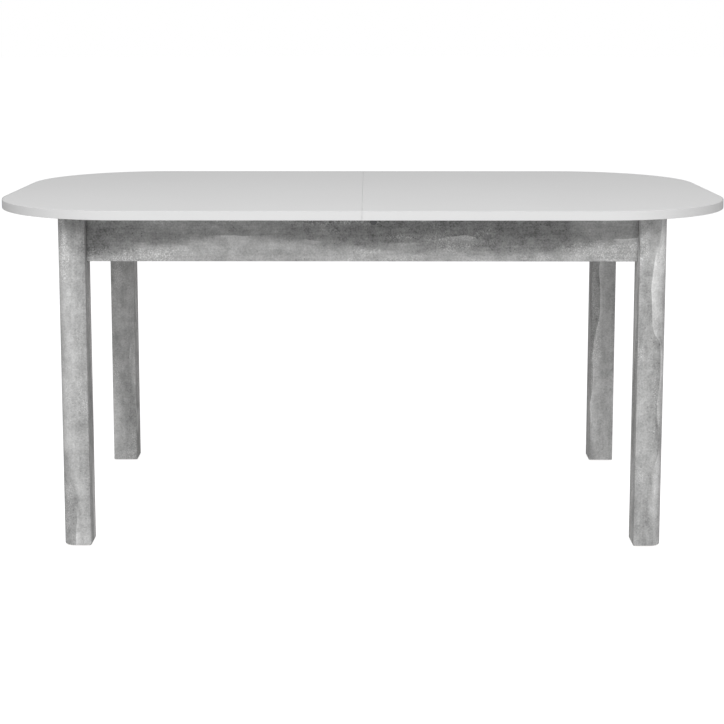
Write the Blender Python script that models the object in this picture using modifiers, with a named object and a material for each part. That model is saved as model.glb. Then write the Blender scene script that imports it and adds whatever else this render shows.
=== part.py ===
"""Extendable dining table: two top halves that slide apart over a fixed leg frame.

The frame is four legs and four aprons, drawn together by corner brackets and hanger bolts.
Each top half hangs on two ball-bearing slides, and a spare leaf lies on two bearers in the frame.
Units are metres. X runs along the table, Y across it (front is -Y) and Z up from the floor.
"""

import math

import bmesh
import bpy

# Driving dimensions
TABLE_LENGTH = 1.600
TABLE_WIDTH = 0.900
TABLE_HEIGHT = 0.740
BOARD_THICKNESS = 0.019
TOP_CORNER_RADIUS = 0.300
EXTENSION = 0.200  # how far each half slides out
END_OVERHANG = 0.155  # top beyond the legs at each end
SIDE_OVERHANG = 0.0875  # top beyond the legs at the front and the rear

LEG_SIZE = 0.060
LEG_OUTER_RADIUS = 0.025
LEG_INNER_RADIUS = 0.002
GLIDE_HEIGHT = 0.003

APRON_BOTTOM = 0.620
APRON_THICKNESS = 0.022
APRON_SETBACK = 0.021  # behind the legs' outer faces

GAP = 0.0003  # between pieces that touch
TOP_CLEARANCE = 0.0015  # between the frame and the sliding halves
OVERCUT = 0.002  # how far a cutter stands out of the face it enters
WELD_DISTANCE = 0.00001

EDGE_BAND_THICKNESS = 0.002
EDGE_BAND_ROUNDING = 0.0006

# Corner bracket and its M8 hanger bolt
BRACKET_THICKNESS = 0.0025
BRACKET_HEIGHT = 0.040
BRACKET_CENTRE_Z = 0.652
BRACKET_FLANGE = 0.030
BRACKET_TO_LEG = 0.006
HANGER_RADIUS = 0.004
HANGER_IN_LEG = 0.035
HANGER_OUT_OF_LEG = 0.024
NUT_ACROSS_FLATS = 0.013
NUT_HEIGHT = 0.0065

# Glide under each leg
GLIDE_RADIUS = 0.019
GLIDE_EDGE = 0.0008
STEM_RADIUS = 0.004
STEM_LENGTH = 0.018

# Ball-bearing slide: a fixed channel, a ball cage and a moving channel
SLIDE_CENTRE_Z = 0.694
SLIDE_INSET = 0.005  # from the batten's ends to the moving channel's
SLIDE_SHEET = 0.0015
FIXED_HEIGHT = 0.036
FIXED_DEPTH = 0.011
FIXED_END_X = 0.560
MOVING_HEIGHT = 0.022
MOVING_NEAR = 0.0035  # from the apron's face to the moving channel's open side
MOVING_FAR = 0.0123  # from the apron's face to the moving channel's back
BALL_RADIUS = 0.00245
BALL_DEPTH = 0.007
BALLS_PER_ROW = 4
BALL_PITCH = 0.048
CAGE_SHEET = 0.0008
CAGE_NEAR = 0.0026
CAGE_FAR = 0.0105
CAGE_LENGTH = 0.170
CAGE_CENTRE_X = 0.215

# Batten that carries the moving channel under the top
BATTEN_LENGTH = 0.325
BATTEN_THICKNESS = 0.022
BATTEN_BOTTOM = 0.680
WOOD_ROUNDING = 0.001

# Stop block on each long apron, its bolt and the cap over the bolt's head
STOP_OFFSET_X = 0.024
STOP_WIDTH = 0.050
STOP_DEPTH = 0.030
STOP_HEIGHT = 0.034
STOP_BOLT_Z = 0.7048
STOP_BOLT_RADIUS = 0.003
STOP_HEAD_RADIUS = 0.005
STOP_HEAD_HEIGHT = 0.003
STOP_BOLT_IN_BLOCK = 0.018
CAP_RADIUS = 0.007
CAP_DEPTH = 0.004
CAP_PROUD = 0.0008

# Spare leaf, its bearers and the alignment pins
LEAF_WIDTH = 2 * EXTENSION
LEAF_LENGTH = TABLE_WIDTH
BEARER_X = 0.350
BEARER_WIDTH = 0.045
BEARER_BOTTOM = 0.6225
BEARER_THICKNESS = 0.018
BEARER_TENON = 0.008
BEARER_TENON_HEIGHT = 0.010
BEARER_STOP_INNER = 0.2145
BEARER_STOP_OUTER = 0.245
BEARER_STOP_HEIGHT = 0.020
PIN_RADIUS = 0.004
PIN_IN = 0.018
PIN_OUT = 0.012
PIN_CHAMFER = 0.001
PIN_OFFSET = 0.300  # from the table's centre line, or along the leaf from its middle

# Smoothness
TOP_CORNER_STEPS = 20
LEG_CORNER_STEPS = 8
ROUND_STEPS = 24
SMALL_ROUND_STEPS = 16
BALL_STEPS = 6
SHARP_ANGLE = math.radians(35)
LEVEL_SLOPE = 0.5  # a face is level when its normal's Z is above this

# Places worked out from the driving dimensions
HALF_LENGTH = TABLE_LENGTH / 2
HALF_WIDTH = TABLE_WIDTH / 2
UNDERSIDE = TABLE_HEIGHT - BOARD_THICKNESS
FRAME_TOP = UNDERSIDE - TOP_CLEARANCE
LEG_X = HALF_LENGTH - END_OVERHANG - LEG_SIZE / 2
LEG_Y = HALF_WIDTH - SIDE_OVERHANG - LEG_SIZE / 2
APRON_OUTER_FROM_LEG = LEG_SIZE / 2 - APRON_SETBACK
APRON_INNER_FROM_LEG = APRON_OUTER_FROM_LEG - APRON_THICKNESS
LONG_APRON_OUTER = LEG_Y + APRON_OUTER_FROM_LEG
LONG_APRON_INNER = LEG_Y + APRON_INNER_FROM_LEG
END_APRON_OUTER = LEG_X + APRON_OUTER_FROM_LEG
BATTEN_START_X = STOP_OFFSET_X + STOP_WIDTH / 2 + GAP
SLIDE_START_X = BATTEN_START_X + SLIDE_INSET
BATTEN_FACE = LONG_APRON_INNER - MOVING_FAR - GAP
LEAF_BOTTOM = BEARER_BOTTOM + BEARER_THICKNESS + GAP
BOARD_CENTRE_Z = UNDERSIDE + BOARD_THICKNESS / 2

SIDES = {"left": -1, "right": 1}
FACES = {"front": -1, "rear": 1}
ALONG_X = (math.pi / 2, 0, math.pi / 2)  # turns a shape's own XYZ to the table's YZX


def clear_scene():
    """Take away whatever the scene holds."""
    for thing in list(bpy.data.objects):
        bpy.data.objects.remove(thing)


def new_collection(name):
    """Add a named collection to the scene."""
    group = bpy.data.collections.new(name)
    bpy.context.scene.collection.children.link(group)
    return group


def new_finish(name, colour, roughness, metallic=0.0):
    """Make a plain material of one colour."""
    finish = bpy.data.materials.new(name)
    finish.use_nodes = True
    shader = finish.node_tree.nodes["Principled BSDF"]
    shader.inputs["Base Color"].default_value = (*colour, 1.0)
    shader.inputs["Roughness"].default_value = roughness
    shader.inputs["Metallic"].default_value = metallic
    return finish


clear_scene()
PARTS = new_collection("extendable_dining_table")
CUTTERS = new_collection("cutters")

WHITE_MELAMINE = new_finish("white_melamine", (0.86, 0.86, 0.85), 0.45)
WHITE_ABS = new_finish("white_abs", (0.88, 0.88, 0.87), 0.40)
CONCRETE_FOIL = new_finish("concrete_foil", (0.40, 0.40, 0.39), 0.65)
ZINC_STEEL = new_finish("zinc_steel", (0.62, 0.63, 0.65), 0.35, 1.0)
RAIL_STEEL = new_finish("rail_steel", (0.55, 0.56, 0.58), 0.30, 1.0)
CAGE_STEEL = new_finish("cage_steel", (0.45, 0.46, 0.48), 0.35, 1.0)
PALE_BEECH = new_finish("pale_beech", (0.66, 0.50, 0.33), 0.60)
DARK_PLASTIC = new_finish("dark_plastic", (0.10, 0.10, 0.11), 0.50)
GREY_NYLON = new_finish("grey_nylon", (0.30, 0.30, 0.30), 0.55)


def new_part(name, mesh, finish, location=(0, 0, 0), rotation=(0, 0, 0), parent=None):
    """Show a mesh as a named part, placed under its parent."""
    part = bpy.data.objects.new(name, mesh)
    mesh.materials.append(finish)
    PARTS.objects.link(part)
    part.location = location
    part.rotation_euler = rotation
    part.parent = parent
    return part


def new_guide(name, location=(0, 0, 0), turn=0.0):
    """Add an empty that carries the pieces of one corner or of one moving body."""
    guide = bpy.data.objects.new(name, None)
    PARTS.objects.link(guide)
    guide.location = location
    guide.rotation_euler = (0, 0, turn)
    return guide


def cut(part, name, mesh, location=(0, 0, 0), rotation=(0, 0, 0), parent=None, operation="DIFFERENCE"):
    """Take a cutter's shape out of a part, or join it on."""
    cutter = bpy.data.objects.new(name, mesh)
    CUTTERS.objects.link(cutter)
    cutter.location = location
    cutter.rotation_euler = rotation
    cutter.parent = parent
    cutter.hide_render = True
    cutter.display_type = "WIRE"
    boolean = part.modifiers.new(name, "BOOLEAN")
    boolean.operation = operation
    boolean.object = cutter


def mesh_of(shape):
    """Bake a curve or a modified object to a welded mesh, and take the object away."""
    depsgraph = bpy.context.evaluated_depsgraph_get()
    mesh = bpy.data.meshes.new_from_object(shape.evaluated_get(depsgraph))
    solid = bmesh.new()
    solid.from_mesh(mesh)
    bmesh.ops.remove_doubles(solid, verts=solid.verts, dist=WELD_DISTANCE)
    bmesh.ops.recalc_face_normals(solid, faces=solid.faces)
    solid.to_mesh(mesh)
    solid.free()
    bpy.data.objects.remove(shape)
    mesh.shade_smooth()
    mesh.set_sharp_from_angle(angle=SHARP_ANGLE)
    return mesh


def poly_curve(points, height, flat):
    """Draw a line through points in the XY plane and extrude it to a height along Z."""
    curve = bpy.data.curves.new("outline", "CURVE")
    curve.dimensions = "2D" if flat else "3D"
    curve.extrude = height / 2
    spline = curve.splines.new("POLY")
    spline.points.add(len(points) - 1)
    for place, (x, y) in zip(spline.points, points):
        place.co = (x, y, 0, 1)
    spline.use_cyclic_u = flat
    if flat:
        curve.fill_mode = "BOTH"
    shape = bpy.data.objects.new("outline", curve)
    bpy.context.scene.collection.objects.link(shape)
    return shape


def plate_mesh(points, thickness):
    """Make a flat plate from its outline, centred on Z."""
    return mesh_of(poly_curve(points, thickness, flat=True))


def sheet_mesh(points, height, thickness):
    """Make a bent sheet that follows a middle line, centred on Z."""
    shape = poly_curve(points, height, flat=False)
    solidify = shape.modifiers.new("sheet", "SOLIDIFY")
    solidify.thickness = thickness
    solidify.offset = 0
    solidify.use_even_offset = True
    return mesh_of(shape)


def box_mesh(size_x, size_y, size_z):
    """Make a box centred on its own origin."""
    solid = bmesh.new()
    bmesh.ops.create_cube(solid, size=1)
    bmesh.ops.scale(solid, vec=(size_x, size_y, size_z), verts=solid.verts)
    mesh = bpy.data.meshes.new("box")
    solid.to_mesh(mesh)
    solid.free()
    return mesh


def turned_mesh(profile, steps=ROUND_STEPS):
    """Turn a profile of (radius, height) points, from its top to its bottom, about Z."""
    mesh = bpy.data.meshes.new("profile")
    points = [(radius, 0, height) for radius, height in profile]
    edges = [(number, number + 1) for number in range(len(points) - 1)]
    mesh.from_pydata(points, edges, [])
    shape = bpy.data.objects.new("profile", mesh)
    bpy.context.scene.collection.objects.link(shape)
    screw = shape.modifiers.new("turn", "SCREW")
    screw.steps = steps
    screw.render_steps = steps
    screw.use_merge_vertices = True
    screw.merge_threshold = WELD_DISTANCE
    return mesh_of(shape)


def rod_mesh(radius, top, bottom, chamfer=0.0, steps=SMALL_ROUND_STEPS):
    """Make a round rod along Z, with both ends chamfered if asked."""
    if chamfer == 0:
        return turned_mesh([(0, top), (radius, top), (radius, bottom), (0, bottom)], steps)
    profile = [
        (0, top),
        (radius - chamfer, top),
        (radius, top - chamfer),
        (radius, bottom + chamfer),
        (radius - chamfer, bottom),
        (0, bottom),
    ]
    return turned_mesh(profile, steps)


def prism_mesh(across_flats, height):
    """Make a six-sided prism along Z."""
    solid = bmesh.new()
    corner_radius = across_flats / math.sqrt(3)
    bmesh.ops.create_cone(
        solid, cap_ends=True, segments=6, radius1=corner_radius, radius2=corner_radius, depth=height
    )
    mesh = bpy.data.meshes.new("prism")
    solid.to_mesh(mesh)
    solid.free()
    return mesh


def round_edges(part, width, segments=2):
    """Round every sharp edge of a part."""
    bevel = part.modifiers.new("rounding", "BEVEL")
    bevel.width = width
    bevel.segments = segments
    bevel.limit_method = "ANGLE"


def round_weighted_edges(part, width, segments):
    """Round the edges that carry a bevel weight."""
    bevel = part.modifiers.new("rounding", "BEVEL")
    bevel.width = width
    bevel.segments = segments
    bevel.limit_method = "WEIGHT"


def weigh_edges(mesh, weight_of):
    """Give each edge of a mesh the bevel weight that weight_of(edge) says."""
    solid = bmesh.new()
    solid.from_mesh(mesh)
    weights = solid.edges.layers.float.new("bevel_weight_edge")
    for edge in solid.edges:
        edge[weights] = weight_of(edge)
    solid.to_mesh(mesh)
    solid.free()


def arc(centre_x, centre_y, radius, start, end, steps):
    """Points along an arc, with its angles in degrees."""
    points = []
    for number in range(steps + 1):
        angle = math.radians(start + (end - start) * number / steps)
        points.append((centre_x + radius * math.cos(angle), centre_y + radius * math.sin(angle)))
    return points


def half_outline(side, inset):
    """Outline of one top half from the seam's front end round to its rear end."""
    radius = TOP_CORNER_RADIUS - inset
    corner_x = HALF_LENGTH - TOP_CORNER_RADIUS
    corner_y = HALF_WIDTH - TOP_CORNER_RADIUS
    edge_y = HALF_WIDTH - inset
    points = [(GAP, -edge_y)]
    points += arc(corner_x, -corner_y, radius, -90, 0, TOP_CORNER_STEPS)
    points += arc(corner_x, corner_y, radius, 0, 90, TOP_CORNER_STEPS)
    points.append((GAP, edge_y))
    return [(side * x, y) for x, y in points]


def rim_weight(edge):
    """Weight 1 for the edges between a flat face and a wall that looks away from the table's centre."""
    middle = (edge.verts[0].co + edge.verts[1].co) / 2
    flat_faces = [face for face in edge.link_faces if abs(face.normal.z) > LEVEL_SLOPE]
    walls = [face for face in edge.link_faces if abs(face.normal.z) < LEVEL_SLOPE]
    outer_walls = [wall for wall in walls if wall.normal.xy.dot(middle.xy) > 0]
    return 1.0 if flat_faces and outer_walls else 0.0


def build_top_half(name, side, guide):
    """Board of one half with its edge band, and the bores for the alignment pins at the seam."""
    inset = EDGE_BAND_THICKNESS + GAP
    place = (0, 0, BOARD_CENTRE_Z)
    board_mesh = plate_mesh(half_outline(side, inset), BOARD_THICKNESS)
    board = new_part(f"top_{name}_half", board_mesh, WHITE_MELAMINE, place, parent=guide)
    depth = PIN_IN if side < 0 else PIN_OUT
    for face, y_side in FACES.items():
        bore_mesh = rod_mesh(PIN_RADIUS + GAP, depth + 2 * GAP, -OVERCUT)
        bore_place = (0, y_side * PIN_OFFSET, BOARD_CENTRE_Z)
        bore_turn = (0, side * math.pi / 2, 0)
        cut(board, f"pin_bore_{name}_{face}", bore_mesh, bore_place, bore_turn, guide)

    band_mesh = sheet_mesh(half_outline(side, EDGE_BAND_THICKNESS / 2), BOARD_THICKNESS, EDGE_BAND_THICKNESS)
    weigh_edges(band_mesh, rim_weight)
    band = new_part(f"edge_band_{name}", band_mesh, WHITE_ABS, place, parent=guide)
    round_weighted_edges(band, EDGE_BAND_ROUNDING, 2)


def leg_weight(edge):
    """Full weight for the leg's outer upright edge, a small one for the other three."""
    first, second = edge.verts[0].co, edge.verts[1].co
    if abs(first.z - second.z) < LEG_SIZE:
        return 0.0
    outer = first.x > 0 and first.y > 0
    return 1.0 if outer else LEG_INNER_RADIUS / LEG_OUTER_RADIUS


def build_leg(name, corner):
    """Square leg with one well rounded outer edge, bored for its hanger bolt and its glide."""
    bottom = GLIDE_HEIGHT + GAP
    height = FRAME_TOP - bottom
    mesh = box_mesh(LEG_SIZE, LEG_SIZE, height)
    weigh_edges(mesh, leg_weight)
    leg = new_part(f"leg_{name}", mesh, CONCRETE_FOIL, (0, 0, bottom + height / 2), parent=corner)
    round_weighted_edges(leg, LEG_OUTER_RADIUS, LEG_CORNER_STEPS)
    bolt_bore = rod_mesh(HANGER_RADIUS + GAP, HANGER_IN_LEG + 2 * GAP, -LEG_SIZE / 4)
    cut(leg, f"bolt_bore_{name}", bolt_bore, inner_corner(0), diagonal_turn(outward=True), corner)
    stem_bore = rod_mesh(STEM_RADIUS + GAP, STEM_LENGTH + 2 * GAP, -OVERCUT)
    cut(leg, f"stem_bore_{name}", stem_bore, (0, 0, GLIDE_HEIGHT), parent=corner)


def inner_corner(distance):
    """Point on the leg's diagonal, this far inside the frame from the leg's inner corner."""
    reach = -LEG_SIZE / 2 - distance / math.sqrt(2)
    return (reach, reach, BRACKET_CENTRE_Z)


def diagonal_turn(outward):
    """Rotation that lays a piece's own Z along the leg's diagonal."""
    return (0, math.pi / 2, math.pi / 4 if outward else math.pi * 5 / 4)


def build_bracket(name, corner):
    """Bent steel bracket across the corner, with its bolt and nut."""
    face = APRON_INNER_FROM_LEG - GAP - BRACKET_THICKNESS / 2
    diagonal = -LEG_SIZE - (BRACKET_TO_LEG + BRACKET_THICKNESS / 2) * math.sqrt(2)
    bend = diagonal - face
    line = [(bend - BRACKET_FLANGE, face), (bend, face), (face, bend), (face, bend - BRACKET_FLANGE)]
    mesh = sheet_mesh(line, BRACKET_HEIGHT, BRACKET_THICKNESS)
    place = (0, 0, BRACKET_CENTRE_Z)
    bracket = new_part(f"corner_bracket_{name}", mesh, ZINC_STEEL, place, parent=corner)
    hole = rod_mesh(HANGER_RADIUS + 2 * GAP, HANGER_OUT_OF_LEG, 0)
    cut(bracket, f"bracket_hole_{name}", hole, inner_corner(0), diagonal_turn(outward=False), corner)

    bolt_mesh = rod_mesh(HANGER_RADIUS, HANGER_OUT_OF_LEG, -HANGER_IN_LEG, PIN_CHAMFER)
    new_part(f"hanger_bolt_{name}", bolt_mesh, ZINC_STEEL, inner_corner(0), diagonal_turn(outward=False), corner)

    nut_distance = BRACKET_TO_LEG + BRACKET_THICKNESS + GAP + NUT_HEIGHT / 2
    nut_mesh = prism_mesh(NUT_ACROSS_FLATS, NUT_HEIGHT)
    nut_place = inner_corner(nut_distance)
    nut_turn = diagonal_turn(outward=False)
    nut = new_part(f"bracket_nut_{name}", nut_mesh, ZINC_STEEL, nut_place, nut_turn, corner)
    thread = rod_mesh(HANGER_RADIUS + GAP, NUT_HEIGHT, -NUT_HEIGHT)
    cut(nut, f"nut_hole_{name}", thread, nut_place, nut_turn, corner)


def build_glide(name, corner):
    """Nylon glide with a stem that stands in the leg."""
    profile = [
        (0, GLIDE_HEIGHT + STEM_LENGTH),
        (STEM_RADIUS, GLIDE_HEIGHT + STEM_LENGTH),
        (STEM_RADIUS, GLIDE_HEIGHT),
        (GLIDE_RADIUS, GLIDE_HEIGHT),
        (GLIDE_RADIUS, GLIDE_EDGE),
        (GLIDE_RADIUS - GLIDE_EDGE, 0),
        (0, 0),
    ]
    new_part(f"glide_{name}", turned_mesh(profile), GREY_NYLON, parent=corner)


def build_corner(face, side, turn):
    """One leg with everything that fastens it to the aprons."""
    name = f"{face}_{side}"
    corner = new_guide(f"corner_{name}", (SIDES[side] * LEG_X, FACES[face] * LEG_Y, 0), turn)
    build_leg(name, corner)
    build_bracket(name, corner)
    build_glide(name, corner)


def build_long_apron(face):
    """Front or rear apron, bored for the stop bolt and mortised for the leaf bearers."""
    y_side = FACES[face]
    height = FRAME_TOP - APRON_BOTTOM
    length = 2 * (LEG_X - LEG_SIZE / 2 - GAP)
    middle_y = y_side * (LONG_APRON_OUTER - APRON_THICKNESS / 2)
    place = (0, middle_y, APRON_BOTTOM + height / 2)
    apron = new_part(f"apron_{face}", box_mesh(length, APRON_THICKNESS, height), CONCRETE_FOIL, place)
    build_stop(face, apron)
    mortise_z = BEARER_BOTTOM + BEARER_THICKNESS / 2
    mortise_depth = BEARER_TENON + GAP + OVERCUT
    mortise_y = y_side * (LONG_APRON_INNER - OVERCUT + mortise_depth / 2)
    for side, x_side in SIDES.items():
        mesh = box_mesh(BEARER_WIDTH + 2 * GAP, mortise_depth, BEARER_TENON_HEIGHT + 2 * GAP)
        cut(apron, f"mortise_{face}_{side}", mesh, (x_side * BEARER_X, mortise_y, mortise_z))


def build_stop(face, apron):
    """Stop block for one top half, held through the apron by a bolt under a cap."""
    y_side = FACES[face]
    stop_x = -y_side * STOP_OFFSET_X
    towards_block = (y_side * math.pi / 2, 0, 0)
    bolt_place = (stop_x, y_side * LONG_APRON_OUTER, STOP_BOLT_Z)
    counterbore_depth = CAP_DEPTH + STOP_HEAD_HEIGHT + 2 * GAP
    block_reach = APRON_THICKNESS + GAP + STOP_BOLT_IN_BLOCK

    block_y = y_side * (LONG_APRON_INNER - GAP - STOP_DEPTH / 2)
    block_z = FRAME_TOP - TOP_CLEARANCE - STOP_HEIGHT / 2
    block_mesh = box_mesh(STOP_WIDTH, STOP_DEPTH, STOP_HEIGHT)
    block = new_part(f"stop_block_{face}", block_mesh, DARK_PLASTIC, (stop_x, block_y, block_z))
    round_edges(block, WOOD_ROUNDING, 1)

    shank_bore = rod_mesh(STOP_BOLT_RADIUS + GAP, block_reach + GAP, -OVERCUT)
    cut(apron, f"shank_bore_{face}", shank_bore, bolt_place, towards_block)
    cut(block, f"block_bore_{face}", shank_bore.copy(), bolt_place, towards_block)
    counterbore = rod_mesh(CAP_RADIUS + GAP, counterbore_depth, -OVERCUT, steps=ROUND_STEPS)
    cut(apron, f"counterbore_{face}", counterbore, bolt_place, towards_block)

    bolt_profile = [
        (0, block_reach),
        (STOP_BOLT_RADIUS, block_reach),
        (STOP_BOLT_RADIUS, counterbore_depth - GAP),
        (STOP_HEAD_RADIUS, counterbore_depth - GAP),
        (STOP_HEAD_RADIUS, CAP_DEPTH + GAP),
        (0, CAP_DEPTH + GAP),
    ]
    bolt_mesh = turned_mesh(bolt_profile, SMALL_ROUND_STEPS)
    new_part(f"stop_bolt_{face}", bolt_mesh, ZINC_STEEL, bolt_place, towards_block)

    cap_profile = [
        (0, CAP_DEPTH),
        (CAP_RADIUS, CAP_DEPTH),
        (CAP_RADIUS, -CAP_PROUD / 2),
        (CAP_RADIUS - CAP_PROUD, -CAP_PROUD),
        (0, -CAP_PROUD),
    ]
    new_part(f"cover_cap_{face}", turned_mesh(cap_profile), DARK_PLASTIC, bolt_place, towards_block)


def build_end_apron(side):
    """Short apron between the two legs of one end."""
    height = FRAME_TOP - APRON_BOTTOM
    length = 2 * (LEG_Y - LEG_SIZE / 2 - GAP)
    middle_x = SIDES[side] * (END_APRON_OUTER - APRON_THICKNESS / 2)
    place = (middle_x, 0, APRON_BOTTOM + height / 2)
    new_part(f"apron_{side}", box_mesh(APRON_THICKNESS, length, height), CONCRETE_FOIL, place)


def channel_line(near, far, height, sheet):
    """Middle line of a channel's three walls: near is its open side, far its back."""
    wall = height / 2 - sheet / 2
    step = sheet / 2 if far > near else -sheet / 2
    return [(-near, wall), (-(far - step), wall), (-(far - step), -wall), (-near, -wall)]


def build_slide(face, side, top_guide, cage_guide):
    """One ball-bearing slide with the batten that hangs it from the top."""
    name = f"{face}_{side}"
    x_side, y_side = SIDES[side], FACES[face]
    turn = (math.pi / 2, 0, y_side * math.pi / 2)

    def place(middle_x):
        return (x_side * middle_x, y_side * LONG_APRON_INNER, SLIDE_CENTRE_Z)

    fixed_length = FIXED_END_X - SLIDE_START_X
    fixed_line = channel_line(FIXED_DEPTH, GAP, FIXED_HEIGHT, SLIDE_SHEET)
    fixed_mesh = sheet_mesh(fixed_line, fixed_length, SLIDE_SHEET)
    fixed_x = SLIDE_START_X + fixed_length / 2
    new_part(f"slide_fixed_{name}", fixed_mesh, RAIL_STEEL, place(fixed_x), turn)

    moving_length = BATTEN_LENGTH - 2 * SLIDE_INSET
    moving_line = channel_line(MOVING_NEAR, MOVING_FAR, MOVING_HEIGHT, SLIDE_SHEET)
    moving_mesh = sheet_mesh(moving_line, moving_length, SLIDE_SHEET)
    moving_x = SLIDE_START_X + moving_length / 2
    new_part(f"slide_moving_{name}", moving_mesh, RAIL_STEEL, place(moving_x), turn, top_guide)

    build_cage(name, place(CAGE_CENTRE_X), turn, cage_guide)

    batten_height = UNDERSIDE - GAP - BATTEN_BOTTOM
    batten_mesh = box_mesh(BATTEN_LENGTH, BATTEN_THICKNESS, batten_height)
    batten_place = (
        x_side * (BATTEN_START_X + BATTEN_LENGTH / 2),
        y_side * (BATTEN_FACE - BATTEN_THICKNESS / 2),
        BATTEN_BOTTOM + batten_height / 2,
    )
    batten = new_part(f"batten_{name}", batten_mesh, PALE_BEECH, batten_place, parent=top_guide)
    round_edges(batten, WOOD_ROUNDING, 1)


def build_cage(name, place, turn, guide):
    """Ball cage: a thin channel with its balls held in both flanges."""
    row_height = (FIXED_HEIGHT / 2 - SLIDE_SHEET + MOVING_HEIGHT / 2) / 2
    line = channel_line(CAGE_FAR, CAGE_NEAR - CAGE_SHEET / 2, 2 * row_height + CAGE_SHEET, CAGE_SHEET)
    mesh = sheet_mesh(line, CAGE_LENGTH, CAGE_SHEET)
    cage = new_part(f"ball_cage_{name}", mesh, CAGE_STEEL, place, turn, guide)

    balls = bmesh.new()
    for number in range(BALLS_PER_ROW):
        along = (number - (BALLS_PER_ROW - 1) / 2) * BALL_PITCH
        for row in (-1, 1):
            made = bmesh.ops.create_uvsphere(
                balls, u_segments=BALL_STEPS, v_segments=BALL_STEPS - 2, radius=BALL_RADIUS
            )
            bmesh.ops.translate(balls, vec=(-BALL_DEPTH, row * row_height, along), verts=made["verts"])
    ball_mesh = bpy.data.meshes.new("balls")
    balls.to_mesh(ball_mesh)
    balls.free()
    cut(cage, f"balls_{name}", ball_mesh, place, turn, guide, operation="UNION")


def build_bearer(side):
    """Cross bearer for the spare leaf, with end stops and a tenon into each long apron."""
    end_y = LONG_APRON_INNER - GAP
    tip_y = LONG_APRON_INNER + BEARER_TENON
    half = BEARER_THICKNESS / 2
    tenon = BEARER_TENON_HEIGHT / 2
    stop_top = half + BEARER_STOP_HEIGHT
    rear_half = [
        (end_y, -half),
        (end_y, -tenon),
        (tip_y, -tenon),
        (tip_y, tenon),
        (end_y, tenon),
        (end_y, half),
        (BEARER_STOP_OUTER, half),
        (BEARER_STOP_OUTER, stop_top),
        (BEARER_STOP_INNER, stop_top),
        (BEARER_STOP_INNER, half),
    ]
    front_half = [(-y, z) for y, z in reversed(rear_half)]
    mesh = plate_mesh(rear_half + front_half, BEARER_WIDTH)
    place = (SIDES[side] * BEARER_X, 0, BEARER_BOTTOM + half)
    new_part(f"leaf_bearer_{side}", mesh, PALE_BEECH, place, ALONG_X)


def build_pin(name, place, rotation, guide):
    """Alignment pin that stands out of a board's edge along its own +Z."""
    mesh = rod_mesh(PIN_RADIUS, PIN_OUT, -PIN_IN, PIN_CHAMFER)
    new_part(name, mesh, ZINC_STEEL, place, rotation, guide)


def build_seam_pins(guide):
    """Pins in the left half that enter the right half when the table is closed."""
    for face, y_side in FACES.items():
        place = (-GAP, y_side * PIN_OFFSET, BOARD_CENTRE_Z)
        build_pin(f"seam_pin_{face}", place, (0, math.pi / 2, 0), guide)


def build_leaf(guide):
    """Spare leaf stored lengthwise on its bearers, with its end bands and its pins."""
    centre_z = LEAF_BOTTOM + BOARD_THICKNESS / 2
    board_length = LEAF_LENGTH - 2 * (EDGE_BAND_THICKNESS + GAP)
    board_mesh = box_mesh(board_length, LEAF_WIDTH, BOARD_THICKNESS)
    board = new_part("spare_leaf", board_mesh, WHITE_MELAMINE, (0, 0, centre_z), parent=guide)
    pin_turn = (-math.pi / 2, 0, 0)
    for side, x_side in SIDES.items():
        band_x = x_side * (LEAF_LENGTH / 2 - EDGE_BAND_THICKNESS / 2)
        band_mesh = box_mesh(EDGE_BAND_THICKNESS, LEAF_WIDTH, BOARD_THICKNESS)
        new_part(f"leaf_edge_band_{side}", band_mesh, WHITE_ABS, (band_x, 0, centre_z), parent=guide)
        pin_x = x_side * PIN_OFFSET
        pin_place = (pin_x, LEAF_WIDTH / 2, centre_z)
        pin_bore = rod_mesh(PIN_RADIUS + GAP, OVERCUT, -PIN_IN - GAP)
        cut(board, f"leaf_pin_bore_{side}", pin_bore, pin_place, pin_turn, guide)
        socket_bore = rod_mesh(PIN_RADIUS + GAP, PIN_OUT + GAP, -OVERCUT)
        cut(board, f"leaf_socket_{side}", socket_bore, (pin_x, -LEAF_WIDTH / 2, centre_z), pin_turn, guide)
        build_pin(f"leaf_pin_{side}", pin_place, pin_turn, guide)


def build_table():
    """Put the whole table together."""
    corner_turns = {
        ("rear", "right"): 0,
        ("rear", "left"): math.pi / 2,
        ("front", "left"): math.pi,
        ("front", "right"): -math.pi / 2,
    }
    for (face, side), turn in corner_turns.items():
        build_corner(face, side, turn)
    for face in FACES:
        build_long_apron(face)
    for side, x_side in SIDES.items():
        build_end_apron(side)
        build_bearer(side)
        top_guide = new_guide(f"{side}_top_slide", (0, 0, 0))
        cage_guide = new_guide(f"{side}_cage_slide", (0, 0, 0))
        build_top_half(side, x_side, top_guide)
        for face in FACES:
            build_slide(face, side, top_guide, cage_guide)
        if side == "left":
            build_seam_pins(top_guide)
    build_leaf(new_guide("leaf_slide"))


build_table()
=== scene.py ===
"""Looks of the extendable dining table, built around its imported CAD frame.

Two white top halves slide apart over a frame of concrete-look legs and aprons. Each visible
piece is either a CAD node with a finer material or a finer piece that stands for it.
Units are metres. X runs along the table, Y across it (front is -Y) and Z up from the floor.
"""

import math

import bmesh
import bpy
from mathutils import Matrix, Vector


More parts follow.
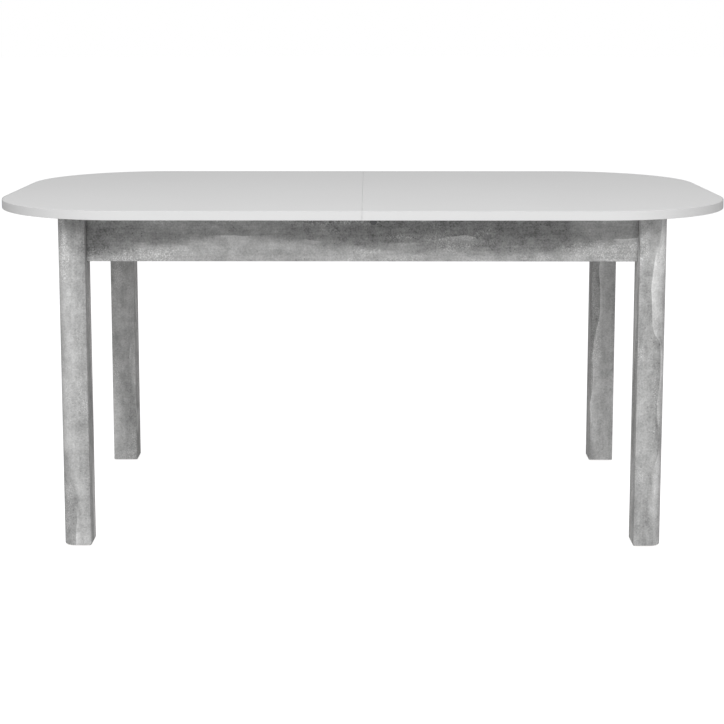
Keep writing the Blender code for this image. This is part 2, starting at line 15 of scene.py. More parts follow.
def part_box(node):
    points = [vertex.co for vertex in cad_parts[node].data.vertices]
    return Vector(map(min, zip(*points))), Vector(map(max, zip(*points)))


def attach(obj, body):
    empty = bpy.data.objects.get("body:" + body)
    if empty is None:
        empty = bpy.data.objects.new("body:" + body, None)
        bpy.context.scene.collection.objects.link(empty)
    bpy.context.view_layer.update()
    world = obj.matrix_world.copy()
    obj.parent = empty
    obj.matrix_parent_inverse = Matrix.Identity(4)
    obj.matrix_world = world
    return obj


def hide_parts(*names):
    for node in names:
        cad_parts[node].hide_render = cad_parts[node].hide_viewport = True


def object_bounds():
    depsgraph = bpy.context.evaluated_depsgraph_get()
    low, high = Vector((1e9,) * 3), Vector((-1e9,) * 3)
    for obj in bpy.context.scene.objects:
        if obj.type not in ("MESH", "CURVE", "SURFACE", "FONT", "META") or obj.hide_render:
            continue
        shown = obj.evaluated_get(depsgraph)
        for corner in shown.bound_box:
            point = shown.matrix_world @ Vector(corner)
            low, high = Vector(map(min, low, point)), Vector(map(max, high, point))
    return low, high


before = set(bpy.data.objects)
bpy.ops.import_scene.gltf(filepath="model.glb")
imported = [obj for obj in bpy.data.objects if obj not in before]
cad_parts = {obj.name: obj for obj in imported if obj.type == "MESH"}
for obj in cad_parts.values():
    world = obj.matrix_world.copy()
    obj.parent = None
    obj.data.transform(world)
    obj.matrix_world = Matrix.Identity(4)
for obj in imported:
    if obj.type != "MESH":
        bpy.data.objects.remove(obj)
CAD_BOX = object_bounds()

# Names of the table's sides, with the sign of their X or Y
ENDS = {"left": -1, "right": 1}
FACES = {"front": -1, "rear": 1}

# Small gaps and roundings
GAP = 0.0003  # between pieces that touch
OVERCUT = 0.002  # how far a cutter stands out of the face it enters
FINE_ARRIS = 0.0002
BAND_ARRIS = 0.0008
FOIL_ARRIS = 0.001
WOOD_ARRIS = 0.0012
METAL_ARRIS = 0.0003

# Table top, from the CAD boards and bands
TOP_CORNER_RADIUS = 0.300
SEAM_BAND = 0.0008
BAND_THICKNESS = 0.002
TOP_CORNER_STEPS = 48
HALF_LENGTH, HALF_WIDTH, TOP_Z = CAD_BOX[1]
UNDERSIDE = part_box("top_right_half")[0].z
RIM_SEAM_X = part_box("top_right_half")[0].x  # half the gap between the rim bands
SEAM_X = 0.00005  # half the gap between the seam bands, which close up tighter
SEAM_ARRIS = 0.0003
BOARD_INSET = BAND_THICKNESS + GAP

# Alignment pins at the seam and in the spare leaf
PIN_RADIUS = 0.004
PIN_TIP = 0.0012
PIN_Y = 0.300  # from the table's middle, and from the leaf's middle along it
PIN_Z = (UNDERSIDE + TOP_Z) / 2
PIN_DEPTH = 0.018
PIN_SOCKET_DEPTH = 0.012

# Legs and their glides
LEG_OUTER_RADIUS = 0.025
LEG_INNER_RADIUS = 0.002
LEG_CORNER_STEPS = 24
LEG_END_ARRIS = 0.0008
GLIDE_THICKNESS = 0.003
GLIDE_STEM = 0.0185
GLIDE_ROUND = 0.0012
GLIDE_DISH = 0.0004
GLIDE_DISH_SHARES = (0.55, 0.60)  # of its radius, where the dish ends and the flat ring begins
STEM_CHAMFER = 0.001

# Corner fasteners. The hanger bolt's lengths are from the leg's inner corner
BRACKET_SHEET = 0.0025
BRACKET_FLANGE = 0.030
BRACKET_BEND = 0.004
BRACKET_GAP = 0.006
BRACKET_SCREW_INSET = 0.014
BRACKET_SCREW_SPREAD = 0.012
BRACKET_SCREW = (0.0038, 0.0024)  # radius and height of the head
BOLT_RADIUS = 0.004
BOLT_IN_LEG = 0.035
BOLT_IN_FRAME = 0.024
BOLT_POINT = 0.006
BOLT_POINT_RADIUS = 0.0012
BOLT_NECK = 0.001
THREAD_START = 0.002
THREAD_PITCH = 0.00125
THREAD_DEPTH = 0.0005
THREAD_CREST_SHARES = (0.4, 0.6)  # of the pitch, where each crest begins and ends
NUT_ACROSS = 0.013
NUT_HEIGHT = 0.0065
NUT_FACE_SHARE = 0.47  # of its width, the radius of its flat faces
NUT_CHAMFER_SHARE = 0.16  # of its height

# Slides: rolled channels, ball cages between them, and the battens that carry the moving ones
RAIL_SHEET = 0.0015
RAIL_BEND = 0.0018
CAGE_SHEET = 0.0008
CAGE_BEND = 0.0012
RAIL_SCREW_BORE = 0.0017
RAIL_SCREW = (0.0034, 0.0014)
RAIL_SCREW_SHARES = (0.04, 0.23, 0.48, 0.74, 0.96)  # of the channel's length
SLOT_SHARES = (0.13, 0.35, 0.61, 0.85)
SLOT_LENGTH = 0.011
SLOT_HEIGHT = 0.0045
SLOT_STEPS = 8
BALL_RADIUS = 0.00245
BALL_ROW = 0.01375
BALL_PITCH = 0.048
BALL_DEPTH = 0.007  # from the apron's inner face to the balls' middles
BALLS_PER_ROW = 4
BATTEN_SCREW = (0.004, 0.0018)
BATTEN_SCREW_SHARES = (0.08, 0.36, 0.64, 0.92)  # of the batten's length

# Stop blocks behind the long aprons, and the cover caps in front of their bolts
STOP_BORE_RADIUS = 0.0033
STOP_BORE_DEPTH = 0.03
STOP_BORE_REACH = 0.045
CAP_BORE_DEPTH = 0.0076
CAP_DOME_ANGLES = (0.0, 0.3, 0.6, 0.9, 1.2)
CAP_RIM_SHARE = 0.35  # of how far the cap stands proud

# Leaf bearers. The heights are from their underside, and the end stops hold the leaf's long edges
BEARER_HEIGHT = 0.018
TENON_LENGTH = 0.0083
TENON_MIDDLE = 0.009
TENON_HALF_HEIGHT = 0.005
END_STOP_INNER_Y = 0.2145
END_STOP_OUTER_Y = 0.245

# Studio
FLOOR_RADIUS = 60.0
FLOOR_STEPS = 96
FLOOR_TONE = 0.64
FLOOR_GLOW = 0.80  # seen by the camera only
SURROUND_LIGHT = 0.36
SURROUND_SEEN = 0.64  # added where the camera sees it
SOFTBOX_SIZE = (6.0, 2.0)
SOFTBOX_AIM = (0.0, 0.0, 0.6)
FRONT_SOFTBOX_PLACE = (0.0, -3.4, 3.05)
FRONT_SOFTBOX_POWER = 155.0
REAR_SOFTBOX_PLACE = (0.0, 4.0, 2.6)
REAR_SOFTBOX_POWER = 13.0
CAMERA_PLACE = (0.012, -3.545, 1.107)
CAMERA_DOWN = math.radians(6.98)
CAMERA_LEFT = math.radians(0.22)
CAMERA_LENS = 75.85  # millimetres, on a sensor 36 wide
CAMERA_SENSOR = 36.0
CAMERA_SHIFT = -0.20

# How finely curves are drawn, and which faces count as level
ROUND_STEPS = 32
SMALL_STEPS = 20
BEND_STEPS = 6
SHARP_ANGLE = math.radians(35)
LEVEL_SLOPE = 0.5
FLAT_SLOPE = 0.9

# Turns by X, Y and Z angles
ALONG_X = (math.pi / 2, 0, math.pi / 2)  # a section drawn in XY, to the table's YZ plane
INWARD = (0, math.pi / 2, math.pi * 5 / 4)  # a piece's own Z, along the leg's diagonal into the frame


# ---------------------------------------------------------------- shader nodes


def add(tree, kind, inputs=None, **settings):
    """Add a node, set its properties, and set or link its inputs."""
    node = tree.nodes.new(kind)
    for key, value in settings.items():
        setattr(node, key, value)
    for socket, value in (inputs or {}).items():
        if isinstance(value, bpy.types.NodeSocket):
            tree.links.new(value, node.inputs[socket])
        else:
            node.inputs[socket].default_value = value
    return node


def maths(tree, operation, first, second=0.0, third=0.0):
    """One arithmetic step on numbers or sockets."""
    values = {0: first, 1: second, 2: third}
    return add(tree, "ShaderNodeMath", values, operation=operation).outputs[0]


def remap(tree, value, low, high, to_low, to_high, smooth=False):
    """Map a range of values to another one, clamped."""
    kind = "SMOOTHSTEP" if smooth else "LINEAR"
    inputs = {"Value": value, "From Min": low, "From Max": high, "To Min": to_low, "To Max": to_high}
    return add(tree, "ShaderNodeMapRange", inputs, interpolation_type=kind).outputs["Result"]


def scaled(tree, vector, factors):
    """Stretch coordinates along their axes."""
    inputs = {0: vector, 1: factors}
    return add(tree, "ShaderNodeVectorMath", inputs, operation="MULTIPLY").outputs[0]


def noise(tree, vector, scale, detail=2.0, roughness=0.5, output="Fac"):
    """Fractal noise, from 0 to 1 about 0.5."""
    inputs = {"Vector": vector, "Scale": scale, "Detail": detail, "Roughness": roughness}
    return add(tree, "ShaderNodeTexNoise", inputs).outputs[output]


def warped(tree, vector, scale, amount):
    """Push coordinates about by a soft noise, by up to about this many metres."""
    push = noise(tree, vector, scale, output="Color")
    inputs = {0: push, 1: (0.5, 0.5, 0.5)}
    centred = add(tree, "ShaderNodeVectorMath", inputs, operation="SUBTRACT").outputs[0]
    inputs = {0: centred, 1: (2 * amount,) * 3, 2: vector}
    return add(tree, "ShaderNodeVectorMath", inputs, operation="MULTIPLY_ADD").outputs[0]


def stretched(axis, factor):
    """Factors that shorten one axis and keep the others, so a pattern is drawn out along it."""
    return [factor if name == axis else 1.0 for name in "XYZ"]


def cells(tree, vector, scale):
    """Random cells: the distance from each one's middle, and a random number for each from 0 to 1."""
    node = add(tree, "ShaderNodeTexVoronoi", {"Vector": vector, "Scale": scale})
    pick = add(tree, "ShaderNodeSeparateColor", {0: node.outputs["Color"]}).outputs[0]
    return node.outputs["Distance"], pick


def dots(tree, vector, scale, radius, share):
    """Round specks: 1 in the middle of some cells, 0 elsewhere. Share is how many cells hold one."""
    distance, pick = cells(tree, vector, scale)
    near = remap(tree, distance, 0.0, radius, 1.0, 0.0, smooth=True)
    chosen = maths(tree, "LESS_THAN", pick, share)
    return maths(tree, "MULTIPLY", near, chosen)


def varied(tree, tone, pattern, amount):
    """Let a pattern from 0 to 1 raise and lower a tone about its own value."""
    return maths(tree, "MULTIPLY_ADD", maths(tree, "SUBTRACT", pattern, 0.5), amount, tone)


def raised(tree, tone, pattern, amount):
    """Add an amount to a tone where a pattern is 1."""
    return maths(tree, "MULTIPLY_ADD", pattern, amount, tone)


def new_material(name, roughness, metallic=0.0):
    """Start a material: returns it with its tree, its shader and the piece's own coordinates."""
    material = bpy.data.materials.new(name)
    material.use_nodes = True
    tree = material.node_tree
    shader = tree.nodes["Principled BSDF"]
    shader.inputs["Roughness"].default_value = roughness
    shader.inputs["Metallic"].default_value = metallic
    place = add(tree, "ShaderNodeTexCoord").outputs["Object"]
    return material, tree, shader, place


def tint(tree, shader, value, colour):
    """Drive the base colour: a tone times a constant colour."""
    inputs = {0: value, 1: colour}
    toned = add(tree, "ShaderNodeVectorMath", inputs, operation="MULTIPLY").outputs[0]
    tree.links.new(toned, shader.inputs["Base Color"])


def bump(tree, shader, height, distance):
    """Drive the shader's normal by a height from 0 to 1, which stands for this many metres."""
    inputs = {"Height": height, "Distance": distance, "Strength": 1.0}
    result = add(tree, "ShaderNodeBump", inputs).outputs["Normal"]
    tree.links.new(result, shader.inputs["Normal"])


# ------------------------------------------------------------------- materials


def flow_lines(tree, place, stretch, across, phase, swing_depth):
    """Lines that follow each other across the print: the tone of each rises, then fades away.

    Across holds lines per metre along each axis. Phase moves the lines that way, and they swing by
    swing_depth spacings. A line rises at a crisp edge in places and softly elsewhere. Returns its
    tone and the bright crest of its crisp edges.
    """
    flow_stretch = [factor ** 0.8 for factor in stretch]
    flow_place = scaled(tree, warped(tree, place, 8.0, 0.02), flow_stretch)
    inputs = {0: place, 1: across}
    count = add(tree, "ShaderNodeVectorMath", inputs, operation="DOT_PRODUCT").outputs["Value"]
    wander = noise(tree, flow_place, 10.0, detail=1.2, roughness=0.4)
    swing = varied(tree, phase, wander, swing_depth)
    step = maths(tree, "FRACT", maths(tree, "ADD", count, swing))
    left = maths(tree, "SUBTRACT", 1.0, step)
    fade = maths(tree, "POWER", left, 1.8)
    edge = maths(tree, "POWER", left, 14.0)
    crisp = remap(tree, noise(tree, place, 6.0, detail=1.0), 0.49, 0.60, 0.0, 1.0, smooth=True)
    rise = remap(tree, step, 0.0, 0.22, 0.0, 1.0, smooth=True)
    line = maths(tree, "MULTIPLY", fade, maths(tree, "MAXIMUM", rise, crisp))
    crest = maths(tree, "MULTIPLY", edge, crisp)
    return line, crest


def concrete_foil(name, along, across, phase, swing_depth, base):
    """Matt foil printed like trowelled concrete, its streaks and flow lines drawn out along one axis.

    Base is the tone between the flow lines. The other values are those of flow_lines.
    """
    material, tree, shader, place = new_material(name, 0.62)
    stretch = stretched(along, 0.24)
    long_place = scaled(tree, warped(tree, place, 8.0, 0.02), stretch)
    streak_place = scaled(tree, place, stretched(along, 0.06))

    cloud = noise(tree, long_place, 13.0, detail=4.0, roughness=0.5)
    mottle = noise(tree, warped(tree, place, 30.0, 0.008), 48.0, detail=3.0, roughness=0.55)
    grain = noise(tree, place, 260.0, detail=4.0, roughness=0.75)
    streak = noise(tree, streak_place, 200.0, detail=2.0, roughness=0.6)
    line, crest = flow_lines(tree, place, stretch, across, phase, swing_depth)

    # Patches of pale sand, and a few dark pits
    patch = remap(tree, noise(tree, long_place, 22.0, detail=3.0), 0.49, 0.62, 0.0, 1.0, smooth=True)
    sand = remap(tree, noise(tree, place, 420.0, detail=2.0), 0.50, 0.62, 0.0, 1.0)
    speck = maths(tree, "MULTIPLY", sand, patch)
    pit = dots(tree, place, 220.0, 0.42, 0.10)

    tone = varied(tree, base, cloud, 1.30)
    tone = varied(tree, tone, mottle, 0.75)
    tone = varied(tree, tone, grain, 1.20)
    tone = varied(tree, tone, streak, 0.35)
    tone = raised(tree, tone, line, 0.52)
    tone = raised(tree, tone, crest, 0.16)
    tone = raised(tree, tone, speck, 0.50)
    tone = raised(tree, tone, pit, -0.40)
    tint(tree, shader, tone, (0.480, 0.480, 0.477))

    rough = remap(tree, mottle, 0.3, 0.7, 0.56, 0.70)
    tree.links.new(rough, shader.inputs["Roughness"])
    height = raised(tree, maths(tree, "ADD", grain, speck), pit, -1.0)
    bump(tree, shader, height, 0.00012)
    return material


def white_melamine():
    """Matt white melamine: almost even, with a faint cast and a very fine pearl texture."""
    material, tree, shader, place = new_material("white_melamine_fine", 0.5)
    cloud = noise(tree, place, 3.0, detail=3.0)
    grain = noise(tree, place, 900.0, detail=2.0)
    tone = varied(tree, 1.0, cloud, 0.03)
    tone = varied(tree, tone, grain, 0.04)
    tint(tree, shader, tone, (0.825, 0.825, 0.825))
    tree.links.new(remap(tree, cloud, 0.3, 0.7, 0.46, 0.54), shader.inputs["Roughness"])
    bump(tree, shader, grain, 0.00005)
    return material


def white_abs():
    """White plastic edge band, a little glossier than the board and finely brushed along."""
    material, tree, shader, place = new_material("white_abs_fine", 0.42)
    cloud = noise(tree, place, 12.0, detail=2.0)
    brushed = noise(tree, scaled(tree, place, (0.1, 0.1, 1.0)), 2200.0, detail=2.0)
    tone = varied(tree, 1.0, cloud, 0.03)
    tint(tree, shader, tone, (0.73, 0.73, 0.73))
    tree.links.new(remap(tree, brushed, 0.3, 0.7, 0.38, 0.48), shader.inputs["Roughness"])
    bump(tree, shader, brushed, 0.00003)
    return material


def chipboard():
    """Raw chipboard, seen on the edges that carry no foil: pressed flakes of mixed tones."""
    material, tree, shader, place = new_material("raw_chipboard", 0.85)
    flat_place = scaled(tree, place, (1.0, 1.0, 2.2))
    flake = cells(tree, warped(tree, flat_place, 300.0, 0.0008), 380.0)[1]
    dust = noise(tree, place, 900.0, detail=3.0)
    tone = remap(tree, flake, 0.0, 1.0, 0.70, 1.15)
    tone = varied(tree, tone, dust, 0.5)
    tint(tree, shader, tone, (0.50, 0.37, 0.24))
    bump(tree, shader, maths(tree, "ADD", flake, dust), 0.0003)
    return material


def beech(name, along):
    """Planed beech with fine grain along one axis and the short dark flecks of its rays."""
    material, tree, shader, place = new_material(name, 0.55)
    long_place = scaled(tree, warped(tree, place, 5.0, 0.004), stretched(along, 0.05))
    rings = noise(tree, long_place, 140.0, detail=3.0, roughness=0.6)
    fibre = noise(tree, long_place, 1400.0, detail=2.0, roughness=0.7)
    flecks = dots(tree, scaled(tree, place, stretched(along, 0.25)), 900.0, 0.35, 0.22)
    tone = varied(tree, 1.0, rings, 0.50)
    tone = varied(tree, tone, fibre, 0.30)
    tone = raised(tree, tone, flecks, -0.16)
    tint(tree, shader, tone, (0.62, 0.44, 0.28))
    tree.links.new(remap(tree, rings, 0.3, 0.7, 0.50, 0.62), shader.inputs["Roughness"])
    bump(tree, shader, fibre, 0.00012)
    return material


def metal(name, colour, roughness, brushed_along=None, spangle=0.0):
    """Bare or plated steel, with rolling marks along an axis or the spangle of zinc."""
    material, tree, shader, place = new_material(name, roughness, metallic=1.0)
    mark_place = scaled(tree, place, stretched(brushed_along, 0.03))
    marks = noise(tree, mark_place, 1500.0, detail=3.0, roughness=0.6)
    dull = noise(tree, place, 55.0, detail=4.0, roughness=0.6)
    crystal = cells(tree, place, 260.0)[1]
    tone = varied(tree, 1.0, dull, 0.25)
    tone = varied(tree, tone, crystal, spangle)
    tint(tree, shader, tone, colour)
    rough = remap(tree, maths(tree, "ADD", marks, dull), 0.6, 1.4, roughness * 0.75, roughness * 1.35)
    tree.links.new(rough, shader.inputs["Roughness"])
    bump(tree, shader, marks, 0.00003)
    return material


def plastic(name, colour, roughness):
    """Moulded plastic with a fine spark-eroded texture."""
    material, tree, shader, place = new_material(name, roughness)
    texture = noise(tree, place, 1600.0, detail=2.0)
    cloud = noise(tree, place, 90.0, detail=2.0)
    tone = varied(tree, 1.0, cloud, 0.20)
    tone = varied(tree, tone, texture, 0.15)
    tint(tree, shader, tone, colour)
    rough = remap(tree, cloud, 0.3, 0.7, roughness - 0.06, roughness + 0.06)
    tree.links.new(rough, shader.inputs["Roughness"])
    bump(tree, shader, texture, 0.00006)
    return material


# Aprons carry painted shade: their base tone is set darker than the legs' for the same foil, standing in
# for the shade under the top's overhang, and their level flow line, dark above and pale below at one
# height on every apron, is partly the print and partly that painted shade.
APRON_PRINT_AND_PAINTED_SHADE = {"across": (0.0, 0.0, -7.0), "phase": 0.63, "swing_depth": 1.0, "base": 0.62}
LEG_PRINT = {"across": (11.0, 11.0, 0.0), "phase": 0.15, "swing_depth": 2.0, "base": 0.80}
FOIL_X_PAINTED_SHADE = concrete_foil("concrete_foil_along_x_painted_shade", "X", **APRON_PRINT_AND_PAINTED_SHADE)
FOIL_Y_PAINTED_SHADE = concrete_foil("concrete_foil_along_y_painted_shade", "Y", **APRON_PRINT_AND_PAINTED_SHADE)
FOIL_Z = concrete_foil("concrete_foil_along_z", "Z", **LEG_PRINT)
MELAMINE = white_melamine()
ABS = white_abs()
CHIPBOARD = chipboard()
BEECH_X = beech("beech_along_x", "X")
BEECH_Y = beech("beech_along_y", "Y")
ZINC = metal("zinc_plated_steel", (0.66, 0.67, 0.69), 0.34, spangle=0.10)
RAIL = metal("rolled_rail_steel", (0.60, 0.61, 0.63), 0.30, brushed_along="X")
CAGE = metal("cage_sheet_steel", (0.48, 0.49, 0.51), 0.36, brushed_along="X")
BALL = metal("polished_ball_steel", (0.80, 0.80, 0.82), 0.12)
DARK = plastic("dark_moulded_plastic", (0.15, 0.15, 0.155), 0.48)
NYLON = plastic("grey_nylon_moulding", (0.26, 0.26, 0.26), 0.55)


# ---------------------------------------------------------------------- shapes


def arc(centre_x, centre_y, radius, start, end, steps):
    """Points along an arc, with its angles in degrees."""
    points = []
    for number in range(steps + 1):
        angle = math.radians(start + (end - start) * number / steps)
        points.append((centre_x + radius * math.cos(angle), centre_y + radius * math.sin(angle)))
    return points


def prism(outline, low, high):
    """Solid that stands on a closed outline in the XY plane, from one height to another."""
    shape = bmesh.new()
    floor = [shape.verts.new((x, y, low)) for x, y in outline]
    ceiling = [shape.verts.new((x, y, high)) for x, y in outline]
    shape.faces.new(floor)
    shape.faces.new(ceiling)
    for number in range(len(outline)):
        before = number - 1
        shape.faces.new((floor[before], floor[number], ceiling[number], ceiling[before]))
    bmesh.ops.recalc_face_normals(shape, faces=shape.faces)
    return shape


def strip(outer, inner, low, high):
    """Solid between two open lines of as many points each, from one height to another."""
    shape = bmesh.new()
    rows = []
    for line, height in ((outer, low), (outer, high), (inner, high), (inner, low)):
        rows.append([shape.verts.new((x, y, height)) for x, y in line])
    for row, following in zip(rows, rows[1:] + rows[:1]):
        for number in range(len(outer) - 1):
            shape.faces.new((row[number], row[number + 1], following[number + 1], following[number]))
    shape.faces.new([row[0] for row in rows])
    shape.faces.new([row[-1] for row in rows])
    bmesh.ops.recalc_face_normals(shape, faces=shape.faces)
    return shape


def block(low, high):
    """Box between two corners."""
    outline = [(low[0], low[1]), (high[0], low[1]), (high[0], high[1]), (low[0], high[1])]
    return prism(outline, low[2], high[2])


def lathe(profile, steps=ROUND_STEPS):
    """Turn a profile of (radius, height) points about Z. It starts and ends at radius 0."""
    shape = bmesh.new()
    rings = []
    for radius, height in profile:
        count = steps if radius > 0 else 1
        turns = [2 * math.pi * step / steps for step in range(count)]
        points = [(radius * math.cos(turn), radius * math.sin(turn), height) for turn in turns]
        rings.append([shape.verts.new(point) for point in points])
    for ring, following in zip(rings, rings[1:]):
        for step in range(steps):
            after = step + 1
            corners = (
                ring[step % len(ring)],
                ring[after % len(ring)],
                following[after % len(following)],
                following[step % len(following)],
            )
            shape.faces.new(list(dict.fromkeys(corners)))
    bmesh.ops.recalc_face_normals(shape, faces=shape.faces)
    return shape


def rod(radius, low, high, steps=SMALL_STEPS):
    """Round rod along Z."""
    return lathe([(0, low), (radius, low), (radius, high), (0, high)], steps)


def soften(shape, width, steps, chosen=None):
    """Round the sharp edges of a shape, or only those for which chosen(edge) is true."""
    edges = []
    for edge in shape.edges:
        if edge.calc_face_angle(0) > SHARP_ANGLE and (chosen is None or chosen(edge)):
            edges.append(edge)
    bmesh.ops.bevel(shape, geom=edges, offset=width, segments=steps, profile=0.5, affect="EDGES")
    return shape


def moved(shape, place, turn=(0, 0, 0)):
    """Turn a shape by X, Y and Z angles, then set it at a place."""
    turned = Matrix()
    for axis, angle in zip("XYZ", turn):
        turned = Matrix.Rotation(angle, 4, axis) @ turned
    bmesh.ops.transform(shape, matrix=Matrix.Translation(place) @ turned, verts=shape.verts)
    return shape


def mirrored(shape, x_side, y_side):
    """Mirror a shape to one end and one face of the table."""
    bmesh.ops.scale(shape, vec=(x_side, y_side, 1), verts=shape.verts)
    bmesh.ops.recalc_face_normals(shape, faces=shape.faces)
    return shape


def joined(shapes):
    """One shape that holds them all."""
    whole = bmesh.new()
    for shape in shapes:
        part = bpy.data.meshes.new("part")
        shape.to_mesh(part)
        shape.free()
        whole.from_mesh(part)
        bpy.data.meshes.remove(part)
    return whole


def object_of(name, shape):
    """Put a shape in the scene as an object."""
    mesh = bpy.data.meshes.new(name)
    shape.to_mesh(mesh)
    shape.free()
    made = bpy.data.objects.new(name, mesh)
    bpy.context.scene.collection.objects.link(made)
    return made


def combined(shape, others, operation="DIFFERENCE"):
    """Cut other shapes out of one, or keep only what they share."""
    body = object_of("body", shape)
    tools = [object_of("tool", other) for other in others]
    for tool in tools:
        boolean = body.modifiers.new("combine", "BOOLEAN")
        boolean.operation = operation
        boolean.solver = "EXACT"
        boolean.object = tool
    depsgraph = bpy.context.evaluated_depsgraph_get()
    mesh = bpy.data.meshes.new_from_object(body.evaluated_get(depsgraph))
    result = bmesh.new()
    result.from_mesh(mesh)
    for thing in [body, *tools]:
        bpy.data.meshes.remove(thing.data)
    bpy.data.meshes.remove(mesh)
    return result


def new_piece(name, shape, body, material, nodes=(), other=None, other_faces=None):
    """Show a shape as a piece that rides on a body and stands for CAD nodes.

    Where other_faces(face) is true, a face takes the other material.
    """
    piece = object_of(name, shape)
    piece.data.materials.append(material)
    if other:
        piece.data.materials.append(other)
        for face in piece.data.polygons:
            face.material_index = int(other_faces(face))
    piece.data.shade_smooth()
    piece.data.set_sharp_from_angle(angle=SHARP_ANGLE)
    weighted = piece.modifiers.new("even_shading", "WEIGHTED_NORMAL")
    weighted.keep_sharp = True
    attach(piece, body)
    if nodes:
        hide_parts(*nodes)


# ------------------------------------------------------------------- table top


def rim_line(inset, start_x):
    """Outline of the right half from the seam's front end round to its rear end."""
    radius = TOP_CORNER_RADIUS - inset
    corner_x = HALF_LENGTH - TOP_CORNER_RADIUS
    corner_y = HALF_WIDTH - TOP_CORNER_RADIUS
    edge_y = HALF_WIDTH - inset
    line = [(start_x, -edge_y)]
    line += arc(corner_x, -corner_y, radius, -90, 0, TOP_CORNER_STEPS)
    line += arc(corner_x, corner_y, radius, 0, 90, TOP_CORNER_STEPS)
    line.append((start_x, edge_y))
    return line


def is_level_rim(edge):
    """True for an edge between a level face and an upright one."""
    slopes = [abs(face.normal.z) for face in edge.link_faces]
    return max(slopes) > LEVEL_SLOPE > min(slopes)


def is_outer_rim(edge):
    """True for a level rim on the side away from the table's middle."""
    middle = (edge.verts[0].co + edge.verts[1].co) / 2
    walls = [face for face in edge.link_faces if abs(face.normal.z) < LEVEL_SLOPE]
    return is_level_rim(edge) and any(wall.normal.xy.dot(middle.xy) > 0 for wall in walls)


def is_seam_rim(edge):
    """True for a level rim at the seam of the right half."""
    return is_level_rim(edge) and all(vert.co.x < SEAM_X + FINE_ARRIS for vert in edge.verts)


def pin_bores(depth):
    """Bores for the alignment pins, from the seam into the right half."""
    start_x = SEAM_X - OVERCUT
    bores = []
    for y_side in FACES.values():
        bore = rod(PIN_RADIUS + GAP, 0, depth + OVERCUT)
        bores.append(moved(bore, (start_x, y_side * PIN_Y, PIN_Z), (0, math.pi / 2, 0)))
    return bores


def build_top_half(end, depth):
    """Board, rim band and thin seam band of one half, bored this deep for the pins."""
    side = ENDS[end]
    body = f"{end}_top"
    board = prism(rim_line(BOARD_INSET, SEAM_X + SEAM_BAND), UNDERSIDE, TOP_Z)
    board = soften(board, FINE_ARRIS, 1, is_outer_rim)
    board = mirrored(combined(board, pin_bores(depth)), side, 1)
    new_piece(f"top_board_{end}", board, body, MELAMINE, [f"top_{end}_half"])

    band = strip(rim_line(0, RIM_SEAM_X), rim_line(BAND_THICKNESS, RIM_SEAM_X), UNDERSIDE, TOP_Z)
    band = mirrored(soften(band, BAND_ARRIS, 4, is_outer_rim), side, 1)
    new_piece(f"rim_band_{end}", band, body, ABS, [f"edge_band_{end}"])

    reach = HALF_WIDTH - BOARD_INSET
    seam = block((SEAM_X, -reach, UNDERSIDE), (SEAM_X + SEAM_BAND, reach, TOP_Z))
    seam = soften(seam, SEAM_ARRIS, 3, is_seam_rim)
    seam = mirrored(combined(seam, pin_bores(depth)), side, 1)
    new_piece(f"seam_band_{end}", seam, body, ABS)


build_top_half("left", PIN_DEPTH)
build_top_half("right", PIN_SOCKET_DEPTH)


# ------------------------------------------------------------------------ legs


def leg_outline(low, high):
    """Square with one well rounded corner, at its high X and high Y."""
    small, large = LEG_INNER_RADIUS, LEG_OUTER_RADIUS
    outline = arc(high.x - large, high.y - large, large, 0, 90, LEG_CORNER_STEPS)
    outline += arc(low.x + small, high.y - small, small, 90, 180, BEND_STEPS)
    outline += arc(low.x + small, low.y + small, small, 180, 270, BEND_STEPS)
    outline += arc(high.x - small, low.y + small, small, 270, 360, BEND_STEPS)
    return outline


def is_end_grain(face):
    """True for a face that looks up or down."""
    return abs(face.normal.z) > FLAT_SLOPE


def build_leg(face, end):
    """Leg of one corner, bored for its hanger bolt and its glide's stem.

    It is drawn at the rear right and mirrored into place.
    """
    name = f"{face}_{end}"
    low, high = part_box("leg_rear_right")
    leg = soften(prism(leg_outline(low, high), low.z, high.z), LEG_END_ARRIS, 3, is_level_rim)
    bolt_low, bolt_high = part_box("hanger_bolt_rear_right")
    middle = (bolt_low + bolt_high) / 2
    length = (bolt_high - bolt_low).xy.length
    bore = moved(rod(BOLT_RADIUS + GAP, -length / 2, length / 2), middle, (0, math.pi / 2, math.pi / 4))
    stem_place = ((low.x + high.x) / 2, (low.y + high.y) / 2, GLIDE_THICKNESS)
    stem = moved(rod(BOLT_RADIUS + GAP, 0, GLIDE_STEM + OVERCUT), stem_place)
    leg = mirrored(combined(leg, [bore, stem]), ENDS[end], FACES[face])
    nodes = [f"leg_{name}"]
    new_piece(f"leg_post_{name}", leg, "frame", FOIL_Z, nodes, CHIPBOARD, is_end_grain)


for end in ENDS:
    for face in FACES:
        build_leg(face, end)


# ---------------------------------------------------------------------- aprons


def is_raw_edge(face):
    """True for an apron's top face, which carries no foil."""
    return face.normal.z > FLAT_SLOPE


def build_end_apron(end):
    """Short apron between the legs of one end."""
    apron = soften(block(*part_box(f"apron_{end}")), FOIL_ARRIS, 3)
    nodes = [f"apron_{end}"]
    new_piece(f"short_apron_{end}", apron, "frame", FOIL_Y_PAINTED_SHADE, nodes, CHIPBOARD, is_raw_edge)


def tenon_mortise(x_side, face_y):
    """Cutter for one bearer's tenon, from an apron's inner face inwards."""
    low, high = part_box("leaf_bearer_right")
    middle_z = low.z + TENON_MIDDLE
    reach = TENON_HALF_HEIGHT + GAP
    start = (low.x - GAP, face_y - OVERCUT, middle_z - reach)
    stop = (high.x + GAP, high.y + GAP, middle_z + reach)
    return mirrored(block(start, stop), x_side, 1)


